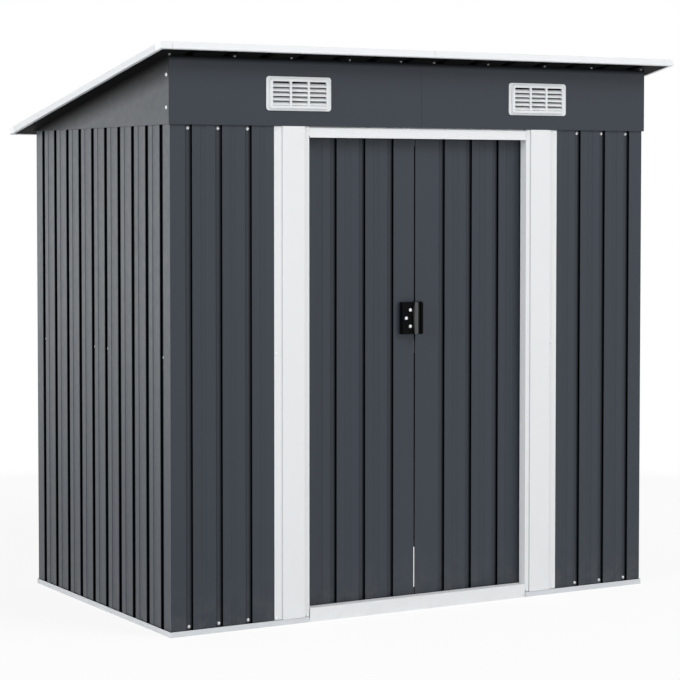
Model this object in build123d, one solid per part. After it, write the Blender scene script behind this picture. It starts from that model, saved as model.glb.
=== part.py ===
"""Metal storage shed with a single-pitch roof and a pair of sliding doors.

Millimetres, +Z up. The origin is on the ground under the middle of the roof, and the doors face -Y.
Sheet walls stand in a channel frame, and the roof falls from the front to the rear.
"""
from math import atan, cos, degrees, hypot, sin
import os

from build123d import *

# Overall sizes
WALL_WIDTH = 1800.0
WALL_DEPTH = 1050.0
WALL_HEIGHT = 1567.0
FASCIA_HEIGHT = 208.0
REAR_RISE = 4.0
SIDE_OVERHANG = 70.0
FRONT_OVERHANG = 85.0
REAR_OVERHANG = 75.0

# Steel thicknesses and clearances
SHEET = 1.0
FRAME_SHEET = 1.2
RAIL_PLATE = 1.5
BUTT_GAP = 0.3
OVERCUT = 1.0
MOVING_GAP = 5.0
GLIDE_GAP = 0.3

# Rolled wall profile: deep grooves with a shallow crease in each flat between them
RIB_PITCH = 103.0
GROOVE_WIDTH = 24.0
GROOVE_FLANK = 2.5
GROOVE_DEPTH = 9.0
CREASE_WIDTH = 25.0
CREASE_FLANK = 2.0
CREASE_DEPTH = 1.5
EDGE_FLAT = 20.0
FRONT_FIRST_GROOVE = 64.0
CORNER_FLANGE = 22.0
SHEET_LAP = 3.0

# Base channel that the sheets stand in
BASE_PROUD = 4.0
BASE_LIP = 17.0
BASE_INNER_LIP = 30.0
BASE_INNER_ROOM = 12.0

# Door posts, hat-shaped with a deep return beside the doorway
DOORWAY_WIDTH = 830.0
POST_OUTER_FLANGE = 27.0
POST_FACE = 83.0
POST_INNER_FLANGE = 16.0
POST_RAISE = 4.5
POST_FLANK = 2.0
PANEL_UNDER_POST = 25.0

# Doors and their tracks
DOOR_SETBACK = 36.0
DOOR_WIDTH = 450.0
DOOR_BOTTOM = 22.0
DOOR_TOP_DROP = 17.0
DOOR_EDGE_FLANGE = 14.0
LEFT_DOOR_FIRST_GROOVE = 92.0
RIGHT_DOOR_FIRST_GROOVE = 106.0
DOOR_RIB_PITCH = 106.5
DOOR_RAIL_HEIGHT = 40.0
DOOR_RAIL_DEPTH = 14.0
SILL_HEIGHT = 44.0
HEAD_DROP = 3.0
HEAD_HEIGHT = 32.0
HEAD_LIP = 4.0
TRACK_LIP = 14.0
TRACK_RIDGE_HEIGHT = 8.0
TRACK_RIDGE_WIDTH = 8.0
TRACK_REAR_ROOM = 14.0
TOP_TRACK_RISE = 13.0
TOP_TRACK_FRONT_LEG = 43.0
TOP_TRACK_REAR_LEG = 25.0
GLIDE_LENGTH = 40.0
GLIDE_WIDTH = 18.0
GLIDE_INSET = 60.0

# Door handles
HANDLE_CENTRE = 951.0
HANDLE_HEIGHT = 104.0
GRIP_WIDTH = 54.0
GRIP_THICKNESS = 19.0
GRIP_ROUNDING = 4.0
GRIP_HOLLOW = 12.0
PULL_WIDTH = 26.0
PULL_THICKNESS = 4.0
FIN_THICKNESS = 7.0
FIN_REACH = 38.0
FIN_CORNER = 5.0

# Rails inside the walls
FRAME_FLANGE = 25.0
TOP_RAIL_HEIGHT = 30.0
MID_RAIL_CENTRE = 855.0
MID_RAIL_HEIGHT = 40.0
MID_RAIL_DEPTH = 18.0

# Panels above the walls, and their vents
UPPER_PROUD = 6.0
UPPER_FLANGE = 26.0
VENT_WIDTH = 231.0
VENT_HEIGHT = 106.0
VENT_OFFSET = 456.0
VENT_RISE = 100.5
VENT_PLATE = 3.0
VENT_PROUD = 10.0
VENT_WINDOW_WIDTH = 192.0
VENT_WINDOW_HEIGHT = 75.0
VENT_BEAD = 8.0
VENT_CORNER = 10.0
VENT_SLATS = 5
VENT_TOP_GAP = 4.0
VENT_SLAT_TILT = 35.0
VENT_SLAT_THICKNESS = 1.6
VENT_COLUMNS = 3
VENT_BAR = 6.5
VENT_HOLE_WIDTH = 192.0
VENT_HOLE_HEIGHT = 75.0

# Roof
ROOF_SHEETS = 3
ROOF_RIBS_PER_SHEET = 5
ROOF_RIB_HEIGHT = 12.0
ROOF_RIB_BASE = 36.0
ROOF_RIB_TOP = 20.0
TRIM_HEIGHT = 21.5
TRIM_TOP_FLANGE = 25.0
TRIM_BOTTOM_FLANGE = 12.0
CORNER_CAP = 40.0
BEAM_DEPTH = 45.0
BEAM_FLANGE = 25.0

# Places worked out from the sizes
ROOF_WIDTH = WALL_WIDTH + 2 * SIDE_OVERHANG
ROOF_DEPTH = WALL_DEPTH + FRONT_OVERHANG + REAR_OVERHANG
SIDE = WALL_WIDTH / 2
FRONT = FRONT_OVERHANG - ROOF_DEPTH / 2
REAR = FRONT + WALL_DEPTH
SHEET_DEPTH = GROOVE_DEPTH + SHEET
SHEET_TOP = WALL_HEIGHT + SHEET_LAP
FALL = (FASCIA_HEIGHT - REAR_RISE) / WALL_DEPTH
ROOF_ANGLE = atan(FALL)
ROOF_DATUM = WALL_HEIGHT + FASCIA_HEIGHT + FALL * FRONT
POST_WIDTH = POST_OUTER_FLANGE + POST_FACE + POST_INNER_FLANGE
POST_OUTER = DOORWAY_WIDTH / 2 + POST_WIDTH
DOOR_FRONT = FRONT + DOOR_SETBACK
DOOR_BACK = DOOR_FRONT + SHEET_DEPTH
DOOR_RAIL_BACK = DOOR_BACK + DOOR_RAIL_DEPTH
DOOR_INNER_EDGE = MOVING_GAP / 2
GLIDE_MIDDLE = DOOR_BACK + DOOR_RAIL_DEPTH / 2
SILL_BACK = DOOR_FRONT - MOVING_GAP
DOOR_TOP = WALL_HEIGHT - DOOR_TOP_DROP
HEAD_TOP = WALL_HEIGHT - HEAD_DROP
HEAD_BOTTOM = HEAD_TOP - HEAD_HEIGHT
VENT_CENTRE = WALL_HEIGHT + VENT_RISE
UPPER_FRONT = FRONT - UPPER_PROUD
UPPER_SIDE = SIDE + UPPER_PROUD


def roof_underside(y):
    """Height of the roof sheet's underside above the ground."""
    return ROOF_DATUM - FALL * y


def offset_line(points, distance):
    """The bent line moved to its left by a distance, with mitred corners."""
    headings = []
    for (x0, y0), (x1, y1) in zip(points, points[1:]):
        run = hypot(x1 - x0, y1 - y0)
        headings.append(((x1 - x0) / run, (y1 - y0) / run))
    moved = []
    for index, (x, y) in enumerate(points):
        before = headings[max(index - 1, 0)]
        after = headings[min(index, len(headings) - 1)]
        stretch = distance / (1 + before[0] * after[0] + before[1] * after[1])
        moved.append((x - stretch * (before[1] + after[1]), y + stretch * (before[0] + after[0])))
    return moved


def strip(points, thickness, length):
    """A folded strip: the bent line thickened to its left and drawn out along +Z."""
    outline = points + offset_line(points, thickness)[::-1]
    return extrude(make_face(Polyline(*outline, close=True)), length, dir=(0, 0, 1))


def strip_along_x(points, thickness, start, end):
    """A folded strip along X, from (y, z) points."""
    return Plane.YZ.offset(start) * strip(points, thickness, end - start)


def strip_along_y(points, thickness, start, end):
    """A folded strip along Y, from (x, z) points."""
    return Plane((0, end, 0), (1, 0, 0), (0, -1, 0)) * strip(points, thickness, end - start)


def strip_upright(points, thickness, bottom, top):
    """A folded strip standing upright, from (x, y) points."""
    return Pos(0, 0, bottom) * strip(points, thickness, top - bottom)


def block(x, y, z):
    """A box between two limits along each axis."""
    centre = Pos((x[0] + x[1]) / 2, (y[0] + y[1]) / 2, (z[0] + z[1]) / 2)
    return centre * Box(x[1] - x[0], y[1] - y[0], z[1] - z[0])


def plate_yz(points, x):
    """A flat plate between two X limits, from its (y, z) outline."""
    face = make_face(Polyline(*points, close=True))
    return Plane.YZ.offset(x[0]) * extrude(face, x[1] - x[0], dir=(0, 0, 1))


def on_roof(shape):
    """Lay a shape made on the level down on the roof's slope."""
    return Pos(0, 0, ROOF_DATUM) * Rot(-degrees(ROOF_ANGLE), 0, 0) * shape


def mirrored(shape):
    """The same piece on the other side of the shed."""
    return mirror(shape, about=Plane.YZ)


def dent(centre, width, flank, depth):
    """Four points of a trapezium pressed into a sheet."""
    half = width / 2
    return [(centre - half, 0), (centre - half + flank, depth), (centre + half - flank, depth),
            (centre + half, 0)]


def ribbed_line(width, first, pitch):
    """Outer face of a ribbed sheet as (along, depth) points, with as many grooves as fit."""
    points = [(0, 0)]
    groove = first
    while groove + GROOVE_WIDTH / 2 + EDGE_FLAT <= width:
        points += dent(groove, GROOVE_WIDTH, GROOVE_FLANK, GROOVE_DEPTH)
        crease = groove + pitch / 2
        if crease + CREASE_WIDTH / 2 + EDGE_FLAT <= width:
            points += dent(crease, CREASE_WIDTH, CREASE_FLANK, CREASE_DEPTH)
        groove += pitch
    return points + [(width, 0)]


def even_line(width):
    """Outer face of a wall sheet whose grooves stand evenly about its middle."""
    gaps = (width - GROOVE_WIDTH - 2 * EDGE_FLAT) // RIB_PITCH
    return ribbed_line(width, (width - gaps * RIB_PITCH) / 2, RIB_PITCH)


def side_wall():
    """Left wall sheet, drawn from the rear to the front."""
    points = [(depth - SIDE, REAR - along) for along, depth in even_line(WALL_DEPTH)]
    return strip_upright(points, SHEET, RAIL_PLATE, SHEET_TOP)


def rear_wall():
    """Rear wall sheet with a flange folded inside each side wall."""
    reach = SIDE - SHEET
    points = [(reach - along, REAR - depth) for along, depth in even_line(2 * reach)]
    points = [(reach, REAR - CORNER_FLANGE)] + points + [(-reach, REAR - CORNER_FLANGE)]
    return strip_upright(points, SHEET, RAIL_PLATE, SHEET_TOP)


def front_panel():
    """Left front sheet, from a flange inside the side wall to under the door post."""
    reach = SIDE - SHEET
    width = reach - (POST_OUTER - PANEL_UNDER_POST)
    line = ribbed_line(width, FRONT_FIRST_GROOVE - SHEET, RIB_PITCH)
    points = [(along - reach, FRONT + depth) for along, depth in line]
    points = [(-reach, FRONT + CORNER_FLANGE)] + points
    return strip_upright(points, SHEET, RAIL_PLATE, SHEET_TOP)


def base_ring():
    """Channel round the whole base, with a low outer lip and a higher inner lip."""
    def ring(outset, inset, height):
        outer = block((-SIDE - outset, SIDE + outset), (FRONT - outset, REAR + outset), (0, height))
        hole = block((-SIDE + inset, SIDE - inset), (FRONT + inset, REAR - inset),
                     (-OVERCUT, height + OVERCUT))
        return outer - hole
    inner = BASE_INNER_ROOM + RAIL_PLATE
    floor = ring(BASE_PROUD, inner, RAIL_PLATE)
    outer_lip = ring(BASE_PROUD, RAIL_PLATE - BASE_PROUD, BASE_LIP)
    inner_lip = ring(-BASE_INNER_ROOM, inner, BASE_INNER_LIP)
    return floor + outer_lip + inner_lip


def base_rails():
    """The base channel cut into its five rails."""
    ring = base_ring()
    inner = BASE_INNER_ROOM + RAIL_PLATE
    far = SIDE + BASE_PROUD + OVERCUT
    post_return = DOORWAY_WIDTH / 2 + SHEET + BUTT_GAP
    tall = (-OVERCUT, BASE_INNER_LIP + OVERCUT)
    front = (FRONT - BASE_PROUD - OVERCUT, FRONT + inner)
    middle = (FRONT + inner + BUTT_GAP, REAR - inner - BUTT_GAP)
    rear = (REAR - inner, REAR + BASE_PROUD + OVERCUT)
    left = ring & block((-far, 0), middle, tall)
    front_left = ring & block((-far, -post_return), front, tall)
    return {
        "base_rail_left": left,
        "base_rail_right": mirrored(left),
        "base_rail_rear": ring & block((-far, far), rear, tall),
        "base_rail_front_left": front_left,
        "base_rail_front_right": mirrored(front_left),
    }


def door_post():
    """Left door post: a hat section over the panel's edge, with a return beside the doorway."""
    face = FRONT - SHEET
    raised = face - POST_RAISE
    edge = -DOORWAY_WIDTH / 2
    start = -POST_OUTER
    rise = start + POST_OUTER_FLANGE
    drop = rise + POST_FACE
    points = [(start, face), (rise, face), (rise + POST_FLANK, raised), (drop - POST_FLANK, raised),
              (drop, face), (edge, face), (edge, SILL_BACK)]
    post = strip_upright(points, SHEET, BASE_LIP, WALL_HEIGHT - BUTT_GAP)
    track_bottom = WALL_HEIGHT + TOP_TRACK_RISE - TOP_TRACK_FRONT_LEG
    notch = block((edge - 2 * SHEET, edge + SHEET), (FRONT + SHEET_DEPTH - BUTT_GAP, SILL_BACK + OVERCUT),
                  (track_bottom - BUTT_GAP, WALL_HEIGHT))
    return post - notch


def door_sill():
    """Folded threshold between the posts."""
    end = DOORWAY_WIDTH / 2 - BUTT_GAP
    front = FRONT - BASE_PROUD
    points = [(SILL_BACK, 0), (SILL_BACK, SILL_HEIGHT), (front, SILL_HEIGHT), (front, 0)]
    return strip_along_x(points, RAIL_PLATE, -end, end)


def door_head_rail():
    """Rail over the doorway with a rolled lower lip, hooked on the top track."""
    end = DOORWAY_WIDTH / 2 - BUTT_GAP
    points = [(FRONT + SHEET_DEPTH, HEAD_TOP), (FRONT, HEAD_TOP), (FRONT, HEAD_BOTTOM + 2 * HEAD_LIP),
              (FRONT - HEAD_LIP, HEAD_BOTTOM + HEAD_LIP), (FRONT - HEAD_LIP, HEAD_BOTTOM),
              (FRONT, HEAD_BOTTOM)]
    return strip_along_x(points, SHEET, -end, end)


def door_track():
    """Bottom track with the folded ridge that the doors' glides straddle."""
    end = SIDE - BASE_INNER_ROOM - RAIL_PLATE - BUTT_GAP
    front = SILL_BACK + BUTT_GAP
    back = DOOR_RAIL_BACK + TRACK_REAR_ROOM
    half = TRACK_RIDGE_WIDTH / 2 - RAIL_PLATE
    points = [(front, TRACK_LIP), (front, 0), (GLIDE_MIDDLE - half, 0),
              (GLIDE_MIDDLE - half, TRACK_RIDGE_HEIGHT), (GLIDE_MIDDLE + half, TRACK_RIDGE_HEIGHT),
              (GLIDE_MIDDLE + half, 0), (back, 0), (back, TRACK_LIP)]
    return strip_along_x(points, RAIL_PLATE, -end, end)


def top_rail_front():
    """Upper front rail, an upside-down channel in which the door tops run."""
    end = SIDE - SHEET_DEPTH - BUTT_GAP
    front = FRONT + SHEET_DEPTH
    back = DOOR_RAIL_BACK + DOOR_RAIL_DEPTH
    top = WALL_HEIGHT + TOP_TRACK_RISE
    points = [(back, top - TOP_TRACK_REAR_LEG), (back, top), (front, top),
              (front, top - TOP_TRACK_FRONT_LEG)]
    return strip_along_x(points, FRAME_SHEET, -end, end)


def top_rail_rear():
    """Upper rear rail with a flange under the roof."""
    end = SIDE - SHEET_DEPTH - BUTT_GAP
    wall = REAR - SHEET_DEPTH
    lip = wall - UPPER_FLANGE
    points = [(wall, WALL_HEIGHT - TOP_RAIL_HEIGHT), (wall, roof_underside(wall)),
              (lip, roof_underside(lip))]
    return strip_along_x(points, FRAME_SHEET, -end, end)


def top_rail_side():
    """Left upper rail, an angle along the side wall."""
    wall = -SIDE + SHEET_DEPTH
    start = DOOR_RAIL_BACK + DOOR_RAIL_DEPTH + BUTT_GAP
    end = REAR - SHEET_DEPTH - FRAME_SHEET - BUTT_GAP
    points = [(wall + FRAME_FLANGE, WALL_HEIGHT), (wall, WALL_HEIGHT),
              (wall, WALL_HEIGHT - TOP_RAIL_HEIGHT)]
    return strip_along_y(points, FRAME_SHEET, start, end)


def channel_line(wall, inward, centre, height, depth):
    """Channel section against a wall, as (inward distance, z) points."""
    inner = wall + inward * depth
    top = centre + height / 2
    bottom = centre - height / 2
    return [(inner, top), (wall, top), (wall, bottom), (inner, bottom)]


def mid_rail_side():
    """Left stiffening rail at half height."""
    line = channel_line(-SIDE + SHEET_DEPTH, 1, MID_RAIL_CENTRE, MID_RAIL_HEIGHT, MID_RAIL_DEPTH)
    start = FRONT + CORNER_FLANGE + DOOR_SETBACK + DOOR_RAIL_DEPTH
    end = REAR - CORNER_FLANGE - BUTT_GAP
    return strip_along_y(line, FRAME_SHEET, start, end)


def mid_rail_rear():
    """Rear stiffening rail at half height, between the side rails."""
    line = channel_line(REAR - SHEET_DEPTH, -1, MID_RAIL_CENTRE, MID_RAIL_HEIGHT, MID_RAIL_DEPTH)
    end = SIDE - SHEET_DEPTH - MID_RAIL_DEPTH - BUTT_GAP
    return strip_along_x(line, -FRAME_SHEET, -end, end)


def fascia():
    """Left half of the fascia, with a hole behind its vent and a flange inside the gable."""
    start = -UPPER_SIDE + SHEET
    back = UPPER_FRONT + UPPER_FLANGE
    points = [(back, roof_underside(back)), (UPPER_FRONT, roof_underside(UPPER_FRONT)),
              (UPPER_FRONT, WALL_HEIGHT), (FRONT, WALL_HEIGHT)]
    front = strip_along_x(points, SHEET, start, -BUTT_GAP / 2)
    inner = UPPER_FRONT + SHEET / 2
    outer = UPPER_FRONT + CORNER_FLANGE
    low = SHEET_TOP + SHEET
    flange = plate_yz([(inner, low), (outer, low), (outer, roof_underside(outer) - SHEET / 2),
                       (inner, roof_underside(inner) - SHEET / 2)], (start, start + SHEET))
    hole = block((-VENT_OFFSET - VENT_HOLE_WIDTH / 2, -VENT_OFFSET + VENT_HOLE_WIDTH / 2),
                 (UPPER_FRONT - OVERCUT, UPPER_FRONT + SHEET + OVERCUT),
                 (VENT_CENTRE - VENT_HOLE_HEIGHT / 2, VENT_CENTRE + VENT_HOLE_HEIGHT / 2))
    return front + flange - hole


def gable():
    """Left gable plate with a lip on the wall's face and a flange under the roof."""
    end = REAR + UPPER_PROUD
    plate = plate_yz([(UPPER_FRONT, WALL_HEIGHT), (end, WALL_HEIGHT), (end, roof_underside(end)),
                      (UPPER_FRONT, roof_underside(UPPER_FRONT))], (-UPPER_SIDE, -UPPER_SIDE + SHEET))
    lip = block((-UPPER_SIDE, -SIDE), (FRONT, REAR), (WALL_HEIGHT, WALL_HEIGHT + SHEET))
    start = UPPER_FRONT + UPPER_FLANGE + MOVING_GAP
    stop = REAR - SHEET_DEPTH - UPPER_FLANGE - MOVING_GAP
    flange = plate_yz([(start, roof_underside(start)), (stop, roof_underside(stop)),
                       (stop, roof_underside(stop) - SHEET), (start, roof_underside(start) - SHEET)],
                      (-UPPER_SIDE, -UPPER_SIDE + UPPER_FLANGE))
    return plate + lip + flange


def vent():
    """Left louvred vent: a bordered plate, a raised bead, sloping slats and upright bars."""
    base = Plane((-VENT_OFFSET, UPPER_FRONT, VENT_CENTRE), (1, 0, 0), (0, -1, 0))
    window = Rectangle(VENT_WINDOW_WIDTH, VENT_WINDOW_HEIGHT)
    bead_outline = RectangleRounded(VENT_WINDOW_WIDTH + 2 * VENT_BEAD, VENT_WINDOW_HEIGHT + 2 * VENT_BEAD,
                                    VENT_BEAD)
    plate = extrude(RectangleRounded(VENT_WIDTH, VENT_HEIGHT, VENT_CORNER), VENT_PLATE)
    frame = plate + extrude(bead_outline, VENT_PROUD) - extrude(window, VENT_PROUD)
    spacing = (VENT_WINDOW_HEIGHT - VENT_TOP_GAP) / VENT_SLATS
    slat = Rot(-VENT_SLAT_TILT, 0, 0) * Box(VENT_WINDOW_WIDTH + OVERCUT, spacing, VENT_SLAT_THICKNESS)
    for number in range(VENT_SLATS):
        height = (number + 0.5) * spacing - VENT_WINDOW_HEIGHT / 2
        frame += Pos(0, height, VENT_PROUD / 2) * slat
    column = VENT_WINDOW_WIDTH / VENT_COLUMNS
    for number in range(1, VENT_COLUMNS):
        place = Pos(number * column - VENT_WINDOW_WIDTH / 2, 0, VENT_PROUD / 2)
        frame += place * Box(VENT_BAR, VENT_WINDOW_HEIGHT + OVERCUT, VENT_PROUD)
    return base * frame


def roof_rib(centre):
    """Raised trapezium in a roof sheet."""
    half = ROOF_RIB_BASE / 2
    return dent(centre, ROOF_RIB_BASE, half - ROOF_RIB_TOP / 2, ROOF_RIB_HEIGHT)


def roof_length():
    """Ends of the roof along its slope, so that it covers its depth in plan."""
    reach = ROOF_DEPTH / 2
    start = (-reach + SHEET * sin(ROOF_ANGLE)) / cos(ROOF_ANGLE)
    end = (reach - (TRIM_HEIGHT - SHEET) * sin(ROOF_ANGLE)) / cos(ROOF_ANGLE)
    return start, end


def roof_sheets():
    """Three ribbed roof sheets, the middle one lapped over a rib of each neighbour."""
    start, end = roof_length()
    start += SHEET + BUTT_GAP
    end -= SHEET + BUTT_GAP
    cover = ROOF_WIDTH / ROOF_SHEETS
    pitch = cover / ROOF_RIBS_PER_SHEET
    lap = -cover / 2
    half_base = ROOF_RIB_BASE / 2
    half_top = ROOF_RIB_TOP / 2
    flank = half_base - half_top

    outer = [(-ROOF_WIDTH / 2 + SHEET + BUTT_GAP, 0)]
    for number in range(ROOF_RIBS_PER_SHEET - 1, -1, -1):
        outer += roof_rib(lap - number * pitch)
    outer[-1] = (lap + half_top + flank / 2, ROOF_RIB_HEIGHT / 2)

    under = [(lap - half_top - flank / 2, ROOF_RIB_HEIGHT / 2), (lap - half_top, ROOF_RIB_HEIGHT),
             (lap + half_top, ROOF_RIB_HEIGHT), (lap + half_base, 0)]
    foot = lap + half_base + SHEET * hypot(flank, ROOF_RIB_HEIGHT) / ROOF_RIB_HEIGHT
    left_edge = offset_line(under, SHEET)[:3] + [(foot, 0)]
    middle = list(left_edge)
    for number in range(1, ROOF_RIBS_PER_SHEET):
        middle += roof_rib(lap + number * pitch)
    middle += [(-x, z) for x, z in left_edge[::-1]]

    left = on_roof(strip_along_y(outer, SHEET, start, end))
    return {
        "roof_sheet_left": left,
        "roof_sheet_middle": on_roof(strip_along_y(middle, SHEET, start, end)),
        "roof_sheet_right": mirrored(left),
    }


def roof_edge():
    """Folded edging round the whole roof, as a channel open towards the sheets."""
    start, end = roof_length()
    side = ROOF_WIDTH / 2
    top = TRIM_HEIGHT - SHEET

    def box(inset, low, high):
        return block((-side + inset, side - inset), (start + inset, end - inset), (low, high))
    return (box(0, -SHEET, top) - box(SHEET, 0, top - SHEET) - box(TRIM_TOP_FLANGE, 0, top + OVERCUT)
            - box(TRIM_BOTTOM_FLANGE, -SHEET - OVERCUT, top - SHEET))


def roof_trims():
    """The roof edging cut into its trims and the four corner caps."""
    ring = roof_edge()
    start, end = roof_length()
    inner = ROOF_WIDTH / 2 - CORNER_CAP
    far = ROOF_WIDTH / 2 + OVERCUT
    tall = (-SHEET - OVERCUT, TRIM_HEIGHT)
    clear = CORNER_CAP + BUTT_GAP
    front_left = ring & block((-inner + BUTT_GAP, -BUTT_GAP / 2), (start - OVERCUT, start + clear), tall)
    rear = ring & block((-inner + BUTT_GAP, inner - BUTT_GAP), (end - clear, end + OVERCUT), tall)
    left = ring & block((-far, -inner), (start + clear, end - clear), tall)
    caps = []
    for x in ((-far, -inner), (inner, far)):
        for y in ((start - OVERCUT, start + CORNER_CAP), (end - CORNER_CAP, end + OVERCUT)):
            caps.append(on_roof(ring & block(x, y, tall)))
    return {
        "roof_trim_front_left": on_roof(front_left),
        "roof_trim_front_right": mirrored(on_roof(front_left)),
        "roof_trim_rear": on_roof(rear),
        "roof_trim_left": on_roof(left),
        "roof_trim_right": mirrored(on_roof(left)),
        "roof_corner_caps": Compound(children=caps),
    }


def roof_beam():
    """Cross beam under the roof's middle, carried by the gables' flanges."""
    end = UPPER_SIDE - SHEET - BUTT_GAP
    points = [(BEAM_FLANGE, -SHEET), (0, -SHEET), (0, -BEAM_DEPTH), (BEAM_FLANGE, -BEAM_DEPTH)]
    return on_roof(strip_along_x(points, FRAME_SHEET, -end, end))


def door_sheet(first_groove):
    """Door leaf on the left side, a ribbed sheet with both edges folded back."""
    inner = -DOOR_INNER_EDGE
    outer = inner - DOOR_WIDTH
    line = ribbed_line(DOOR_WIDTH, first_groove - DOOR_INNER_EDGE, DOOR_RIB_PITCH)
    points = [(inner - along, DOOR_FRONT + depth) for along, depth in line]
    fold = DOOR_FRONT + DOOR_EDGE_FLANGE
    points = [(outer, fold)] + points[::-1] + [(inner, fold)]
    return strip_upright(points, SHEET, DOOR_BOTTOM, DOOR_TOP)


def door_rails():
    """Left door's bottom, middle and top rails behind the sheet."""
    start = -DOOR_INNER_EDGE - DOOR_WIDTH + SHEET + BUTT_GAP
    end = -DOOR_INNER_EDGE - SHEET - BUTT_GAP
    half = DOOR_RAIL_HEIGHT / 2
    rails = []
    for centre in (DOOR_BOTTOM + half, MID_RAIL_CENTRE, DOOR_TOP - half):
        line = channel_line(DOOR_BACK, 1, centre, DOOR_RAIL_HEIGHT, DOOR_RAIL_DEPTH)
        rails.append(strip_along_x(line, FRAME_SHEET, start, end))
    return Compound(children=rails)


def door_glides():
    """Left door's glides: two that straddle the bottom ridge and two in the top track."""
    ridge_top = TRACK_RIDGE_HEIGHT + RAIL_PLATE
    low = (RAIL_PLATE + GLIDE_GAP, DOOR_BOTTOM)
    high = (DOOR_TOP, WALL_HEIGHT + TOP_TRACK_RISE - FRAME_SHEET - GLIDE_GAP)
    across = (GLIDE_MIDDLE - GLIDE_WIDTH / 2, GLIDE_MIDDLE + GLIDE_WIDTH / 2)
    half_slot = TRACK_RIDGE_WIDTH / 2 + GLIDE_GAP
    slot = (GLIDE_MIDDLE - half_slot, GLIDE_MIDDLE + half_slot)
    glides = []
    for middle in (-DOOR_INNER_EDGE - GLIDE_INSET, -DOOR_INNER_EDGE - DOOR_WIDTH + GLIDE_INSET):
        along = (middle - GLIDE_LENGTH / 2, middle + GLIDE_LENGTH / 2)
        groove = block((along[0] - OVERCUT, along[1] + OVERCUT), slot, (0, ridge_top + GLIDE_GAP))
        glides += [block(along, across, low) - groove, block(along, across, high)]
    return Compound(children=glides)


def handle_height():
    """Bottom and top of both handles."""
    return HANDLE_CENTRE - HANDLE_HEIGHT / 2, HANDLE_CENTRE + HANDLE_HEIGHT / 2


def handle_fin():
    """Upright fin of the left handle at the door's edge, with its front corners rounded."""
    fin = block((-DOOR_INNER_EDGE - FIN_THICKNESS, -DOOR_INNER_EDGE),
                (DOOR_FRONT - FIN_REACH, DOOR_FRONT), handle_height())
    corners = fin.edges().filter_by(Axis.X).group_by(Axis.Y)[0]
    return fillet(corners, FIN_CORNER)


def handle_left():
    """Left handle: a thick grip hollowed beside its fin, on a thin foot."""
    fin_side = -DOOR_INNER_EDGE - FIN_THICKNESS
    outer = -DOOR_INNER_EDGE - GRIP_WIDTH
    front = DOOR_FRONT - GRIP_THICKNESS
    grip = block((outer, fin_side), (front, DOOR_FRONT), handle_height())
    grip = fillet(grip.edges().group_by(Axis.X)[0].group_by(Axis.Y)[0], GRIP_ROUNDING)
    half = HANDLE_HEIGHT / 2 + GRIP_ROUNDING
    radius = (half ** 2 + GRIP_HOLLOW ** 2) / (2 * GRIP_HOLLOW)
    middle = Plane((fin_side - GRIP_HOLLOW + radius, DOOR_FRONT - PULL_THICKNESS, HANDLE_CENTRE),
                   (1, 0, 0), (0, -1, 0))
    hollow = middle * extrude(Circle(radius), GRIP_THICKNESS, dir=(0, 0, 1))
    return grip - hollow + handle_fin()


def handle_right():
    """Right handle: a thin foot and the same fin."""
    foot = block((DOOR_INNER_EDGE, DOOR_INNER_EDGE + PULL_WIDTH),
                 (DOOR_FRONT - PULL_THICKNESS, DOOR_FRONT), handle_height())
    return foot + mirrored(handle_fin())


def pairs(name, shape):
    """A left piece and its mirror image, under the names of both sides."""
    return {name + "_left": shape, name + "_right": mirrored(shape)}


def all_nodes():
    """Every piece of the shed by name."""
    nodes = base_rails()
    nodes["door_sill"] = door_sill()
    nodes["door_track"] = door_track()
    nodes.update(pairs("side_wall", side_wall()))
    nodes["rear_wall"] = rear_wall()
    nodes.update(pairs("front_panel", front_panel()))
    nodes.update(pairs("door_post", door_post()))
    nodes["door_head_rail"] = door_head_rail()
    nodes["top_rail_front"] = top_rail_front()
    nodes["top_rail_rear"] = top_rail_rear()
    nodes.update(pairs("top_rail", top_rail_side()))
    nodes.update(pairs("mid_rail", mid_rail_side()))
    nodes["mid_rail_rear"] = mid_rail_rear()
    nodes.update(pairs("fascia", fascia()))
    nodes.update(pairs("gable", gable()))
    nodes.update(pairs("vent", vent()))
    nodes.update(roof_sheets())
    nodes.update(roof_trims())
    nodes["roof_beam"] = roof_beam()
    nodes["door_sheet_left"] = door_sheet(LEFT_DOOR_FIRST_GROOVE)
    nodes["door_sheet_right"] = mirrored(door_sheet(RIGHT_DOOR_FIRST_GROOVE))
    nodes.update(pairs("door_rails", door_rails()))
    nodes.update(pairs("door_glides", door_glides()))
    nodes["door_handle_left"] = handle_left()
    nodes["door_handle_right"] = handle_right()
    return nodes


os.makedirs("parts", exist_ok=True)
for node, shape in all_nodes().items():
    export_step(shape, f"parts/{node}.step")
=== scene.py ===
"""Finishes, fixings and a small studio for a sheet-steel storage shed with sliding doors.

Metres, +Z up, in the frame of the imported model. The doors face -Y.
"""
import math
import random

import bmesh
import bpy
from bpy.props import FloatProperty, FloatVectorProperty, IntProperty, PointerProperty
from mathutils import Matrix, Vector


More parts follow.
